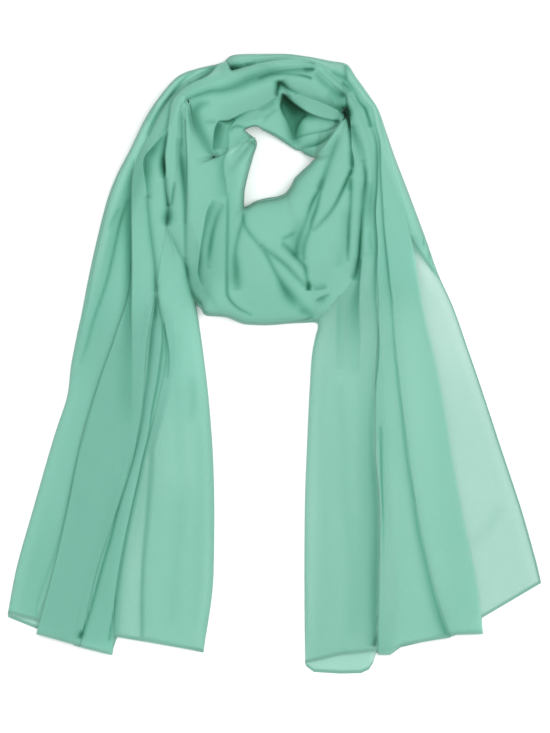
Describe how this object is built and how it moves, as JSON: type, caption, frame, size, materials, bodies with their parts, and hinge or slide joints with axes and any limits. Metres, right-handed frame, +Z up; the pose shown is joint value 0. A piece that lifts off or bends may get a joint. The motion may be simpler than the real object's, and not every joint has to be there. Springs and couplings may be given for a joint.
{
  "type": "chiffon scarf",
  "caption": "Sheer sea-green chiffon scarf wound once round the neck and laid flat, with an open neck hole, a draped front cowl and both pleated ends fanned out.",
  "frame": {"origin": "middle of the footprint on the table, at the level of the underside", "axes": "+Y from the hems towards the back of the neck, +X towards the wearer's left end, +Z up off the table"},
  "size_m": [0.4637, 0.5392, 0.0352],
  "materials": {
    "chiffon": "sheer matte"
  },
  "bodies": {
    "root": {"left_arch_and_tail": "chiffon", "right_band_and_tail": "chiffon", "top_arch_panel": "chiffon", "front_loop": "chiffon", "back_of_neck": "chiffon"}
  },
  "joints": []
}
